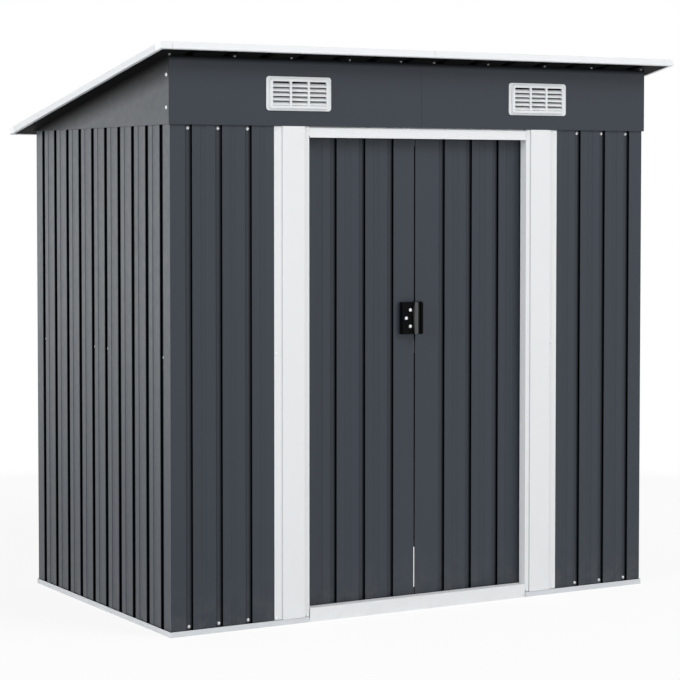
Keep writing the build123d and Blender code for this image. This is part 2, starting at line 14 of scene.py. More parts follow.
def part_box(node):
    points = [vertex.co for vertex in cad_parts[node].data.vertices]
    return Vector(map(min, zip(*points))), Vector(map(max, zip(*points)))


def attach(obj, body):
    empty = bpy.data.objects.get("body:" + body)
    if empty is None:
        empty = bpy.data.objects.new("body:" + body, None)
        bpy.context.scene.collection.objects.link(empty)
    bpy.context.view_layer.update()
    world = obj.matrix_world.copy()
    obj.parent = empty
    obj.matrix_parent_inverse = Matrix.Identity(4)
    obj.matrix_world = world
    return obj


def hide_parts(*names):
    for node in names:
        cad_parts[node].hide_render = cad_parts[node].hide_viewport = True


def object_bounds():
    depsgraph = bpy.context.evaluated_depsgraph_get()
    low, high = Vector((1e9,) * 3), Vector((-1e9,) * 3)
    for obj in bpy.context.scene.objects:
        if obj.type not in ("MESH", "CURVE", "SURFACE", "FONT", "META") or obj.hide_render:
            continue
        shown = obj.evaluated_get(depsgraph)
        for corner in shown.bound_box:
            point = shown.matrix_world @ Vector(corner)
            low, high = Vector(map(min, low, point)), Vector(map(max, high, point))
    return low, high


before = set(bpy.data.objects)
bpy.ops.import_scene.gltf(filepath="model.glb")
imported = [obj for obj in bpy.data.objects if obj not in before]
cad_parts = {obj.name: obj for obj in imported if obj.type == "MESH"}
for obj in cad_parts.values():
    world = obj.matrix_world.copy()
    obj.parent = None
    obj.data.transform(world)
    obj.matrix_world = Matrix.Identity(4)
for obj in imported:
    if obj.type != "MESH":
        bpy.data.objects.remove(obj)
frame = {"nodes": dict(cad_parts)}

bl_info = {
    "name": "Metal Shed Dressing",
    "version": (1, 0, 0),
    "blender": (4, 5, 0),
    "location": "3D View > Sidebar > Shed",
    "description": "Paint, fixings and studio for a sheet-steel shed with sliding doors",
    "category": "Object",
}

CAD_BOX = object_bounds()
RANDOM_SEED = 41

GROOVE_DEPTH = 0.009
SHEET_THICKNESS = 0.001
ROOF_RIB_HEIGHT = 0.012

# Outer faces of the sheets, read from the frame
FRONT_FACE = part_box("front_panel_left")[0].y
DOOR_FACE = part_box("door_sheet_left")[0].y
LEFT_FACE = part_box("side_wall_left")[0].x
RIGHT_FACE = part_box("side_wall_right")[1].x
REAR_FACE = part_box("rear_wall")[1].y
FASCIA_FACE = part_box("fascia_left")[0].y
GABLE_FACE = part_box("gable_left")[0].x
WALL_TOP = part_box("gable_left")[0].z
BASE_LIP_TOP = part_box("door_post_left")[0].z

# Ribbed sheets, as the direction into the shed, the one across the grooves and the setting of the
# painted shade in the creases
FRONT_SHEET = ((0, 1, 0), (1, 0, 0), "front_crease_shade")
RIBBED_SHEETS = {
    "front_panel_left": FRONT_SHEET,
    "front_panel_right": FRONT_SHEET,
    "door_sheet_left": FRONT_SHEET,
    "door_sheet_right": FRONT_SHEET,
    "side_wall_left": ((1, 0, 0), (0, 1, 0), "side_crease_shade"),
    "side_wall_right": ((-1, 0, 0), (0, 1, 0), "side_crease_shade"),
    "rear_wall": ((0, -1, 0), (1, 0, 0), "rear_crease_shade"),
}

# Depths and turns over which the painted shade of a ribbed sheet comes up
CREASE_DEPTHS = (0.0004, 0.0012)
GROOVE_DEPTHS = (0.0008, 0.0024)
FLOOR_DEPTHS = (0.5 * GROOVE_DEPTH, GROOVE_DEPTH)
FLOOR_CORNERS = (0.001, 0.0105)
FLANK_TURNS = (0.35, 0.7)
BACK_TURNS = (0.6, 0.9)

# Painted shade under the eave: the drop where it thins, the drop where it ends, and its least share
FASCIA_SHADE = (0.002, 0.022, 0.06)
GABLE_SHADE = (0.035, 0.11, 0.16)

# Spread of the paint's tone on each kind of piece
SHEET_TONE = 0.1
BASE_TONE = 0.05
TRIM_TONE = 0.03

# Noise of the finishes, as scale, detail and roughness
TONE_CLOUDS = (2.3, 3.0)
TONE_SPECKS = (46.0, 4.0, 0.6)
SHEET_WAVES = (5.0, 1.0)
DUST_PATCHES = (24.0, 5.0, 0.65)
PLASTIC_CLOUDS = (30.0, 2.0)

# Levels of the dust's noise over which a patch comes up
DUST_LEVELS = (0.35, 0.7)

# Zinc, as its metallic share and the scale of its crystals
RAIL_ZINC = (0.85, 90.0)
SCREW_ZINC = (0.2, 400.0)

# Painted shade line on the posts' steps, as turns of the face and depths behind the post's front
STEP_TURNS = (0.8, 0.98)
STEP_START = (0.0002, 0.001)
STEP_END = (0.005, 0.006)

# Painted shade in the louvres: its depths behind the vent's face, and the borders round the window
LOUVRE_DEPTHS = (0.0015, 0.008)
VENT_SIDE_BORDER = 0.0185
VENT_END_BORDER = 0.0145

# Turns over which the roof's underside, painted nearly black as shade, and the fin's side show
UNDERSIDE_TURNS = (-0.5, -0.2)
FIN_SIDE_TURNS = (-0.98, -0.9)

# Screw from the washer's foot to the head's top, as shares of the width and the height of each
WASHER_PROFILE = ((0.94, 0.0), (1.0, 0.4), (0.95, 1.0))
HEAD_PROFILE = ((1.0, 0.0), (1.0, 0.35), (0.93, 0.7), (0.74, 0.93), (0.6, 1.0))
CROSS_REACH = 0.52
CROSS_HALF_WIDTH = 0.13
CROSS_DEPTH = 0.6
CROSS_POINTS = 12
STUD_WIDTH = 0.42
STUD_HEIGHT = 1.6

# Handle screws as X and rise over the handle's middle, and how far in front of the door they sit
GRIP_SCREWS = ((-0.0280, 0.0266), (-0.0436, 0.0), (-0.0280, -0.0266))
GRIP_REACH = 0.019
FOOT_SCREWS = ((0.018, -0.035), (0.018, 0.0), (0.018, 0.035))
FOOT_REACH = 0.004

# Rows of roof screws, as shares of the way from the rear edge to the front edge
ROOF_ROWS = (0.06, 0.5)

# Turn over which an edge of a fixing stays sharp, and the distance over which corners are welded
SHARP_EDGE = math.radians(35)
WELD_DISTANCE = 0.00001

# Gap under the base, and how far the camera sees
FLOOR_GAP = 0.0002
FAR_CLIP = 200.0

# Lamps, as place, aim and size in metres
LAMPS = {
    "key": ((4.8, -7.4, 8.4), (0.0, 0.0, 0.9), (4.8, 4.8)),
    "sheen": ((-5.0, 6.0, 1.2), (-0.9, 0.0, 0.9), (4.5, 2.2)),
    "side": ((-6.5, -2.5, 2.6), (-0.9, 0.0, 1.0), (3.0, 3.0)),
}


def srgb(red, green, blue):
    """A colour given as 0 to 255 levels, as the linear values that shaders use."""
    def linear(level):
        share = level / 255
        return share / 12.92 if share <= 0.04045 else ((share + 0.055) / 1.055) ** 2.4
    return (linear(red), linear(green), linear(blue))


def colour_property(name, description, level):
    """A colour that a user can change."""
    return FloatVectorProperty(name=name, description=description, default=srgb(*level), size=3,
                               min=0.0, max=1.0, subtype="COLOR")


def length_property(name, description, default):
    """A length in metres that a user can change."""
    return FloatProperty(name=name, description=description, default=default, min=0.0,
                         unit="LENGTH", subtype="DISTANCE")


def share_property(name, description, default):
    """A share from none to all."""
    return FloatProperty(name=name, description=description, default=default, min=0.0, max=1.0,
                         subtype="FACTOR")


class ShedPaintSettings(bpy.types.PropertyGroup):
    """Colours and gloss of the shed's surfaces."""
    sheet_colour: colour_property("Sheet", "Paint of the walls, doors, fascia and roof", (36, 45, 55))
    back_colour: colour_property("Sheet back", "Back coat on the inside of the sheets", (92, 95, 99))
    trim_colour: colour_property("Trim", "Paint of the posts, the sill and the roof's front edging",
                                 (233, 235, 237))
    # The trim white, greyed as painted shade for the side and rear edging
    side_trim_shaded_colour: colour_property("Side trim", "Paint of the side and rear roof edging",
                                      (214, 217, 219))
    base_colour: colour_property("Base", "Paint of the base rails", (214, 218, 222))
    vent_colour: colour_property("Vent", "Moulded plastic of the two vents", (229, 232, 234))
    grip_colour: colour_property("Handle", "Moulded plastic of the door handles", (8, 8, 10))
    fin_side_colour: colour_property("Fin side", "Grey side of the left handle's fin", (104, 105, 106))
    screw_colour: colour_property("Screws", "Bright zinc of the screws", (240, 242, 244))
    # The screws' zinc darkened as painted shade, for the nuts under the eave
    nut_shaded_colour: colour_property("Nuts", "Dull zinc of the nuts under the eave", (150, 151, 153))
    zinc_colour: colour_property("Zinc", "Galvanised rails and tracks", (188, 192, 196))
    # Black painted shade, used in the grooves and under the eave
    shade_colour: colour_property("Deep shade", "Black in the grooves and under the eave", (5, 5, 6))
    # Nearly black painted shade on the underside of the roof sheets
    underside_shade_colour: colour_property("Roof underside", "Back coat of the roof sheets", (7, 7, 8))
    # Grey painted shade line on the steps of the posts
    step_shade_colour: colour_property("Post step", "Grey line on the steps of the posts", (90, 92, 95))
    # Grey painted shade in the depth of the louvres
    louvre_shade_colour: colour_property("Vent recess", "Grey in the depth of the louvres", (60, 62, 64))
    dust_colour: colour_property("Dust colour", "Pale dust from the ground", (150, 146, 138))
    sheet_roughness: share_property("Sheet roughness", "Roughness of the sheet paint", 0.45)
    sheet_gloss: share_property("Sheet gloss", "Strength of the sheet paint's reflections", 0.5)
    roof_roughness: share_property("Roof roughness", "Roughness of the roof sheets", 0.75)
    roof_gloss: share_property("Roof gloss", "Strength of the roof sheets' reflections", 0.1)
    grip_roughness: share_property("Handle roughness", "Roughness of the handle plastic", 0.5)
    grip_gloss: share_property("Handle gloss", "Strength of the handle plastic's reflections", 0.05)
    trim_gloss: share_property("Trim gloss", "Strength of the white paint's reflections", 0.3)
    trim_roughness: share_property("Trim roughness", "Roughness of the white paint", 0.4)
    zinc_roughness: share_property("Zinc roughness", "Roughness of the galvanised steel", 0.38)
    vent_roughness: share_property("Vent roughness", "Roughness of the vent plastic", 0.45)
    vent_shade: share_property("Vent shade", "Greying in the depth of the louvres", 0.55)
    step_shade: share_property("Step shade", "Strength of the grey line on the posts' steps", 0.4)
    # Painted shade in the creases of the ribbed sheets, as a share towards black
    front_crease_shade: share_property("Front creases", "Darkening of the front's and doors' creases", 0.04)
    side_crease_shade: share_property("Side creases", "Darkening of the side walls' creases", 0.22)
    rear_crease_shade: share_property("Rear creases", "Darkening of the rear wall's creases", 0.1)
    # Strength of the painted shade under the roof
    eave_shade: share_property("Eave shade", "Soft shade on the gables and the fascia", 0.92)
    dust_share: share_property("Dust", "Pale dust on the foot of the walls and the base", 0.1)
    wall_dust_height: length_property("Wall dust", "Height that dust reaches on the walls", 0.25)
    base_dust_height: length_property("Base dust", "Height that dust reaches on the base rails", 0.06)


class ShedFoldSettings(bpy.types.PropertyGroup):
    """Radii of the folds and moulded edges."""
    sheet_fold: length_property("Sheet fold", "Radius of the folds in the sheets", 0.0008)
    plastic_edge: length_property("Plastic edge", "Radius of the edges of moulded plastic", 0.0012)
    meeting_fold: length_property("Meeting fold", "Depth of the folds where the doors meet", 0.0040)
    fold_segments: IntProperty(name="Fold segments", description="Facets round each fold",
                               default=2, min=1, max=6)
    fold_angle: FloatProperty(name="Fold angle", description="Only sharper turns are rounded",
                              default=math.radians(25), subtype="ANGLE", unit="ROTATION")


class ShedScrewSettings(bpy.types.PropertyGroup):
    """Sizes of the screws and where their rows run."""
    head_width: length_property("Head", "Diameter of a screw head", 0.0088)
    head_height: length_property("Head height", "Height of a screw head", 0.0026)
    washer_width: length_property("Washer", "Diameter of the washer", 0.0112)
    washer_height: length_property("Washer height", "Thickness of the washer", 0.0010)
    nut_width: length_property("Nut", "Width of a nut across its corners", 0.0082)
    nut_height: length_property("Nut height", "Height of a nut", 0.0032)
    top_row_drop: length_property("Top row", "Drop of the top row under the wall's top", 0.0098)
    bottom_row_rise: length_property("Bottom row", "Rise of the bottom row over the base lip", 0.0092)
    mid_row_height: length_property("Middle row", "Height of the middle row", 0.855)
    eave_row_reach: length_property("Eave row", "Reach of the eave nuts in front of the fascia", 0.014)
    eave_left_first: length_property("Eave left", "Distance of the first eave nut left of the middle",
                                     0.068)
    eave_right_first: length_property("Eave right", "Distance of the first nut right of the middle",
                                      0.038)
    eave_pitch: length_property("Eave pitch", "Distance between the eave nuts", 0.2105)
    gable_low_rise: length_property("Gable low", "Rise of the lower screw over the walls", 0.0512)
    gable_high_rise: length_property("Gable high", "Rise of the upper screw over the walls", 0.1504)
    gable_inset: length_property("Gable inset", "Inset of both screws from the fascia", 0.0152)
    post_left_inset: length_property("Left post", "Inset of the left post's middle screw", 0.0075)
    post_right_inset: length_property("Right post", "Inset of the right post's middle screw", 0.0225)
    post_outer_inset: length_property("Post outer", "Inset of the posts' outer end screws", 0.0085)
    post_inner_inset: length_property("Post inner", "Inset of the posts' inner end screws", 0.1180)
    post_foot_rise: length_property("Post foot", "Rise of the posts' foot screws over the lip", 0.006)
    rib_room: length_property("Rib room", "Least distance of a nut from a rib's middle", 0.0235)
    segments: IntProperty(name="Segments", description="Facets round a screw head, a multiple of 12",
                          default=24, min=12, max=48)


class ShedStudioSettings(bpy.types.PropertyGroup):
    """Camera, lamps and floor."""
    camera_place: FloatVectorProperty(name="Camera", description="Where the camera stands",
                                      default=(-3.7757, -6.4513, 1.388), size=3,
                                      unit="LENGTH", subtype="TRANSLATION")
    camera_turn: FloatProperty(name="Turn", description="Turn of the camera from +Y towards +X",
                               default=math.radians(30.081), subtype="ANGLE", unit="ROTATION")
    camera_tilt: FloatProperty(name="Tilt", description="Tilt of the camera above the horizon",
                               default=math.radians(-2.340), subtype="ANGLE", unit="ROTATION")
    camera_lens: FloatProperty(name="Lens", description="Focal length on a 36 mm sensor",
                               default=114.76, unit="CAMERA")
    camera_shift: FloatVectorProperty(name="Shift", description="Shift of the frame, as shares of it",
                                      default=(0.015, -0.10), size=2)
    floor_size: length_property("Floor", "Width of the floor", 60.0)
    floor_colour: colour_property("Floor colour", "Pale floor", (250, 250, 250))
    floor_glow: share_property("Floor glow", "Share of plain white in the floor's look", 0.88)
    floor_fade_start: length_property("Fade start", "Where the floor starts to turn white", 1.5)
    floor_fade_end: length_property("Fade end", "Where the floor is plain white", 3.5)
    sky_strength: FloatProperty(name="Sky", description="Strength of the even light all round",
                                default=0.40, min=0.0)
    key_power: FloatProperty(name="Key lamp", description="Power of the high lamp in front",
                             default=600.0, min=0.0, unit="POWER")
    sheen_power: FloatProperty(name="Sheen lamp", description="Power of the lamp behind on the left",
                               default=72.0, min=0.0, unit="POWER")
    side_power: FloatProperty(name="Side lamp", description="Power of the lamp in front on the left",
                              default=185.0, min=0.0, unit="POWER")


# Nodes of a shader

def fill(tree, socket, value):
    """A link or a plain value on an input."""
    if isinstance(value, bpy.types.NodeSocket):
        tree.links.new(value, socket)
    else:
        socket.default_value = value


def add_node(tree, kind, inputs=None, **settings):
    """A shader node with its settings, and with values or links on its inputs."""
    made = tree.nodes.new(kind)
    for key, value in settings.items():
        setattr(made, key, value)
    for key, value in (inputs or {}).items():
        fill(tree, made.inputs[key], value)
    return made


def maths(tree, operation, first, second=0.0, third=0.0, clamp=False):
    """One step of arithmetic."""
    return add_node(tree, "ShaderNodeMath", {0: first, 1: second, 2: third},
                    operation=operation, use_clamp=clamp).outputs[0]


def product(tree, first, *others):
    """All the values multiplied."""
    for value in others:
        first = maths(tree, "MULTIPLY", first, value)
    return first


def one_less(tree, value):
    """What is left of 1 without the value."""
    return maths(tree, "SUBTRACT", 1.0, value)


def component(tree, vector, axis):
    """One component of a vector."""
    return add_node(tree, "ShaderNodeSeparateXYZ", {0: vector}).outputs[axis]


def smooth_step(tree, value, start, end):
    """0 before start and 1 after end, turning smoothly between them."""
    return add_node(tree, "ShaderNodeMapRange", {"Value": value, "From Min": start, "From Max": end},
                    interpolation_type="SMOOTHSTEP").outputs["Result"]


def mix_colour(tree, share, first, second):
    """Two colours mixed by a share."""
    made = add_node(tree, "ShaderNodeMix", data_type="RGBA", blend_type="MIX")
    sockets = {socket.identifier: socket for socket in made.inputs}
    for name, value in (("Factor_Float", share), ("A_Color", first), ("B_Color", second)):
        fill(tree, sockets[name], value)
    return next(socket for socket in made.outputs if socket.identifier == "Result_Color")


def opaque(colour):
    """A colour with full opacity."""
    return (*colour[:3], 1.0)


def toned(tree, colour, tone):
    """The colour made darker or lighter by a tone about 1."""
    return add_node(tree, "ShaderNodeHueSaturation", {"Value": tone, "Color": colour}).outputs["Color"]


def noise(tree, vector, scale, detail, roughness=0.5):
    """Cloudy noise from 0 to 1."""
    return add_node(tree, "ShaderNodeTexNoise", {"Vector": vector, "Scale": scale, "Detail": detail,
                                                 "Roughness": roughness}).outputs["Fac"]


FILM_OUTPUTS = ("Colour", "Roughness Shift", "Height")
SOCKETS_BY_LENGTH = {3: "NodeSocketVector", 4: "NodeSocketColor"}


def new_group(name, inputs, outputs):
    """A node group with its inputs' defaults and its outputs' names, as (group, inputs, outputs)."""
    group = bpy.data.node_groups.new(name, "ShaderNodeTree")
    for label, default in inputs.items():
        kind = "NodeSocketFloat" if isinstance(default, float) else SOCKETS_BY_LENGTH[len(default)]
        socket = group.interface.new_socket(name=label, in_out="INPUT", socket_type=kind)
        socket.default_value = default
    for label in outputs:
        kind = "NodeSocketColor" if label == "Colour" else "NodeSocketFloat"
        group.interface.new_socket(name=label, in_out="OUTPUT", socket_type=kind)
    return (group, group.nodes.new("NodeGroupInput").outputs,
            group.nodes.new("NodeGroupOutput").inputs)


def use_group(tree, name, inputs):
    """A shared effect placed in a material with its own values, and built on its first use."""
    group = bpy.data.node_groups.get(name) or GROUP_MAKERS[name]()
    return add_node(tree, "ShaderNodeGroup", inputs, node_tree=group).outputs


# Effects that several finishes share

def paint_film_group():
    """Baked paint: slow tone changes, fine orange peel and the soft waves of thin sheet."""
    group, given, out = new_group(
        "paint_film",
        {"Place": (0, 0, 0), "Colour": (1, 1, 1, 1), "Tone Spread": 0.06, "Peel Scale": 700.0,
         "Peel Depth": 0.00002, "Wave Depth": 0.0004, "Speck Share": 0.3, "Roughness Spread": 0.16},
        FILM_OUTPUTS)
    specks = noise(group, given["Place"], *TONE_SPECKS)
    clouds = product(group, noise(group, given["Place"], *TONE_CLOUDS),
                     one_less(group, given["Speck Share"]))
    both = maths(group, "ADD", clouds, product(group, specks, given["Speck Share"]))
    tone = maths(group, "MULTIPLY_ADD", maths(group, "SUBTRACT", both, 0.5), given["Tone Spread"], 1.0)
    fill(group, out["Colour"], toned(group, given["Colour"], tone))
    fill(group, out["Roughness Shift"],
         product(group, maths(group, "SUBTRACT", specks, 0.5), given["Roughness Spread"]))
    peel = product(group, noise(group, given["Place"], given["Peel Scale"], 1.0), given["Peel Depth"])
    wave = product(group, noise(group, given["Place"], *SHEET_WAVES), given["Wave Depth"])
    fill(group, out["Height"], maths(group, "ADD", peel, wave))
    return group


def fold_shade_group():
    """Painted shade of a ribbed sheet, black in its grooves and darker in its creases, and where its
    back shows.
    """
    group, given, out = new_group(
        "fold_shade",
        {"Place": (0, 0, 0), "Facing": (0, 0, 1), "Inward": (0, 1, 0), "Face": 0.0,
         "Along": (1, 0, 0), "First Groove": 0.0, "Pitch": 0.103, "Floor Amount": 0.6,
         "Crease Amount": 0.1},
        ("Shade", "Back"))

    def dot(first, second):
        return add_node(group, "ShaderNodeVectorMath", {0: first, 1: second},
                        operation="DOT_PRODUCT").outputs["Value"]
    turn = dot(given["Facing"], given["Inward"])
    depth = maths(group, "SUBTRACT", dot(given["Place"], given["Inward"]), given["Face"])
    inside = smooth_step(group, depth, *GROOVE_DEPTHS)
    steep = one_less(group, smooth_step(group, maths(group, "ABSOLUTE", turn), *FLANK_TURNS))
    flank = product(group, steep, inside)
    across = maths(group, "SUBTRACT", dot(given["Place"], given["Along"]), given["First Groove"])
    half = product(group, given["Pitch"], 0.5)
    across = maths(group, "WRAP", across, half, product(group, half, -1.0))
    corner = smooth_step(group, maths(group, "ABSOLUTE", across), *FLOOR_CORNERS)
    floor = product(group, smooth_step(group, depth, *FLOOR_DEPTHS), corner, given["Floor Amount"])
    crease = product(group, smooth_step(group, depth, *CREASE_DEPTHS), one_less(group, inside),
                     given["Crease Amount"])
    shade = maths(group, "MAXIMUM", maths(group, "MAXIMUM", flank, floor), crease)
    fill(group, out["Shade"], shade)
    fill(group, out["Back"], smooth_step(group, turn, *BACK_TURNS))
    return group


def ground_dust_group():
    """Pale dust that thins out with height and gathers in patches."""
    group, given, out = new_group(
        "ground_dust",
        {"Place": (0, 0, 0), "Reach": 0.25, "Amount": 0.1},
        ("Mask",))
    height = component(group, given["Place"], "Z")
    low = maths(group, "SUBTRACT", 1.0, maths(group, "DIVIDE", height, given["Reach"]), clamp=True)
    patch = smooth_step(group, noise(group, given["Place"], *DUST_PATCHES), *DUST_LEVELS)
    fill(group, out["Mask"], product(group, low, low, patch, given["Amount"]))
    return group


def zinc_bloom_group():
    """Hot-dip zinc: crystal patches of slightly different tone and gloss."""
    group, given, out = new_group(
        "zinc_bloom",
        {"Place": (0, 0, 0), "Colour": (1, 1, 1, 1), "Crystal Scale": 90.0, "Contrast": 0.25,
         "Roughness Spread": 0.3, "Depth": 0.00003},
        FILM_OUTPUTS)
    cells = add_node(group, "ShaderNodeTexVoronoi",
                     {"Vector": given["Place"], "Scale": given["Crystal Scale"]})
    level = add_node(group, "ShaderNodeSeparateColor", {0: cells.outputs["Color"]}).outputs[0]
    centred = maths(group, "SUBTRACT", level, 0.5)
    tone = maths(group, "MULTIPLY_ADD", centred, given["Contrast"], 1.0)
    fill(group, out["Colour"], toned(group, given["Colour"], tone))
    fill(group, out["Roughness Shift"], product(group, centred, given["Roughness Spread"]))
    fill(group, out["Height"], product(group, level, given["Depth"]))
    return group


def mould_grain_group():
    """Fine grain and flow of moulded plastic."""
    group, given, out = new_group(
        "mould_grain",
        {"Place": (0, 0, 0), "Colour": (1, 1, 1, 1), "Grain Scale": 1400.0, "Grain Depth": 0.00004,
         "Tone Spread": 0.08, "Roughness Spread": 0.3},
        FILM_OUTPUTS)
    grain = noise(group, given["Place"], given["Grain Scale"], 2.0)
    clouds = noise(group, given["Place"], *PLASTIC_CLOUDS)
    centred = maths(group, "SUBTRACT", clouds, 0.5)
    tone = maths(group, "MULTIPLY_ADD", centred, given["Tone Spread"], 1.0)
    fill(group, out["Colour"], toned(group, given["Colour"], tone))
    fill(group, out["Roughness Shift"],
         product(group, maths(group, "SUBTRACT", grain, 0.5), given["Roughness Spread"]))
    fill(group, out["Height"], product(group, grain, given["Grain Depth"]))
    return group


def eave_shade_group():
    """Soft painted shade in the corner under a sloping roof."""
    group, given, out = new_group(
        "eave_shade",
        {"Place": (0, 0, 0), "Roof Height": 1.67, "Roof Slope": -0.19, "Core": 0.02, "Reach": 0.11,
         "Amount": 0.8},
        ("Mask",))
    roof = maths(group, "MULTIPLY_ADD", component(group, given["Place"], "Y"), given["Roof Slope"],
                 given["Roof Height"])
    drop = maths(group, "SUBTRACT", roof, component(group, given["Place"], "Z"))
    near = one_less(group, smooth_step(group, drop, given["Core"], given["Reach"]))
    fill(group, out["Mask"], product(group, near, given["Amount"]))
    return group


GROUP_MAKERS = {
    "eave_shade": eave_shade_group,
    "paint_film": paint_film_group,
    "fold_shade": fold_shade_group,
    "ground_dust": ground_dust_group,
    "zinc_bloom": zinc_bloom_group,
    "mould_grain": mould_grain_group,
}


# Finishes

def start_finish(name):
    """A new material as (material, node tree, place on the object, facing)."""
    material = bpy.data.materials.new(name)
    material.use_nodes = True
    where = material.node_tree.nodes.new("ShaderNodeTexCoord").outputs
    return material, material.node_tree, where["Object"], where["Normal"]


def end_finish(material, colour, film, roughness, gloss=0.5, metallic=0.0):
    """The material with its colour, and with the gloss and the relief that its effect gives."""
    tree = material.node_tree
    shader = next(node for node in tree.nodes if node.type == "BSDF_PRINCIPLED").inputs
    rough = maths(tree, "ADD", film["Roughness Shift"], roughness, clamp=True)
    relief = add_node(tree, "ShaderNodeBump",
                      {"Height": film["Height"], "Strength": 1.0, "Distance": 1.0})
    for name, value in (("Base Color", colour), ("Metallic", metallic), ("Roughness", rough),
                        ("Specular IOR Level", gloss), ("Normal", relief.outputs["Normal"])):
        fill(tree, shader[name], value)
    return material


def paint_film(tree, place, colour, tone_spread):
    """Baked paint of one colour."""
    return use_group(tree, "paint_film",
                     {"Place": place, "Colour": opaque(colour), "Tone Spread": tone_spread})


def mould_grain(tree, place, colour):
    """Moulded plastic of one colour."""
    return use_group(tree, "mould_grain", {"Place": place, "Colour": opaque(colour)})


def dusted(tree, place, colour, amount, reach):
    """The colour with pale ground dust over it, up to a height above the ground."""
    mask = use_group(tree, "ground_dust", {"Place": place, "Reach": reach, "Amount": amount})
    dust = bpy.context.scene.shed_paint.dust_colour
    return mix_colour(tree, mask["Mask"], colour, opaque(dust))


def ribbed_paint(name, node):
    """Anthracite paint of a ribbed sheet, with painted shade that is black in its grooves, and with a
    grey back.
    """
    paint = bpy.context.scene.shed_paint
    material, tree, place, facing = start_finish(name)
    inward, along, crease = RIBBED_SHEETS[node]
    middles = groove_middles(node)
    film = paint_film(tree, place, paint.sheet_colour, SHEET_TONE)
    shade = use_group(tree, "fold_shade",
                      {"Place": place, "Facing": facing, "Inward": inward, "Face": sheet_face(node),
                       "Along": along, "First Groove": middles[0], "Pitch": middles[1] - middles[0],
                       "Crease Amount": getattr(paint, crease)})
    colour = mix_colour(tree, shade["Back"], film["Colour"], opaque(paint.back_colour))
    colour = dusted(tree, place, colour, paint.dust_share, paint.wall_dust_height)
    # Painted shade: grooves, their floors and creases turn nearly black, and metallic takes their
    # reflections away
    colour = mix_colour(tree, shade["Shade"], colour, opaque(paint.shade_colour))
    return end_finish(material, colour, film, paint.sheet_roughness, paint.sheet_gloss, shade["Shade"])


def sheet_face(node):
    """Depth of a ribbed sheet's outer face along its inward direction."""
    inward = Vector(RIBBED_SHEETS[node][0])
    return min(vertex.co.dot(inward) for vertex in frame["nodes"][node].data.vertices)


def pale_paint(name, colour, tone_spread, dust=0.0):
    """Pale baked paint on the frame's pieces."""
    paint = bpy.context.scene.shed_paint
    material, tree, place, _ = start_finish(name)
    film = paint_film(tree, place, colour, tone_spread)
    colour = dusted(tree, place, film["Colour"], dust, paint.base_dust_height)
    return end_finish(material, colour, film, paint.trim_roughness, paint.trim_gloss)


def post_paint(name):
    """White paint with a painted grey shade line down the short steps of the post's raised middle."""
    paint = bpy.context.scene.shed_paint
    material, tree, place, facing = start_finish(name)
    film = paint_film(tree, place, paint.trim_colour, TRIM_TONE)
    depth = maths(tree, "SUBTRACT", component(tree, place, "Y"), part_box("door_post_left")[0].y)
    turn = maths(tree, "ABSOLUTE", component(tree, facing, "Y"))
    steep = one_less(tree, smooth_step(tree, turn, *STEP_TURNS))
    step = maths(tree, "SUBTRACT", smooth_step(tree, depth, *STEP_START),
                 smooth_step(tree, depth, *STEP_END))
    line = product(tree, steep, step, paint.step_shade)
    colour = mix_colour(tree, line, film["Colour"], opaque(paint.step_shade_colour))
    return end_finish(material, colour, film, paint.trim_roughness, paint.trim_gloss)


def eave_paint(name, core, reach, least):
    """Sheet paint with the soft shade of the overhanging roof painted in, and with a least painted
    shade all over.
    """
    paint = bpy.context.scene.shed_paint
    material, tree, place, _ = start_finish(name)
    film = paint_film(tree, place, paint.sheet_colour, SHEET_TONE)
    rear, front = roof_underside()
    slope = (front.z - rear.z) / (front.y - rear.y)
    shade = use_group(tree, "eave_shade",
                      {"Place": place, "Roof Slope": slope, "Roof Height": front.z - slope * front.y,
                       "Core": core, "Reach": reach, "Amount": paint.eave_shade})
    # Painted shade: darkens the paint and, through metallic, its reflections too
    mask = maths(tree, "MAXIMUM", shade["Mask"], least)
    colour = mix_colour(tree, mask, film["Colour"], opaque(paint.shade_colour))
    return end_finish(material, colour, film, paint.sheet_roughness, paint.sheet_gloss, mask)


def roof_underside():
    """Lower face of the roof's flats, as its lowest rear point and its front point over the fascia."""
    points = [vertex.co for vertex in frame["nodes"]["roof_sheet_middle"].data.vertices]
    ends = []
    for y in (max(point.y for point in points), min(point.y for point in points)):
        low = min(point.z for point in points if abs(point.y - y) < SHEET_THICKNESS / 2)
        ends.append(Vector((0, y, low)))
    return ends


def roof_paint(name):
    """Sheet paint with its underside painted nearly black as shade."""
    paint = bpy.context.scene.shed_paint
    material, tree, place, facing = start_finish(name)
    film = paint_film(tree, place, paint.sheet_colour, SHEET_TONE)
    below = one_less(tree, smooth_step(tree, component(tree, facing, "Z"), *UNDERSIDE_TURNS))
    colour = mix_colour(tree, below, film["Colour"], opaque(paint.underside_shade_colour))
    return end_finish(material, colour, film, paint.roof_roughness, paint.roof_gloss)


def zinc_finish(name, colour, metallic, crystal_scale):
    """Galvanised steel."""
    material, tree, place, _ = start_finish(name)
    bloom = use_group(tree, "zinc_bloom", {"Place": place, "Colour": opaque(colour),
                                           "Crystal Scale": crystal_scale})
    roughness = bpy.context.scene.shed_paint.zinc_roughness
    return end_finish(material, bloom["Colour"], bloom, roughness, metallic=metallic)


def handle_finish(name):
    """Black moulded plastic."""
    paint = bpy.context.scene.shed_paint
    material, tree, place, _ = start_finish(name)
    grain = mould_grain(tree, place, paint.grip_colour)
    return end_finish(material, grain["Colour"], grain, paint.grip_roughness, paint.grip_gloss)


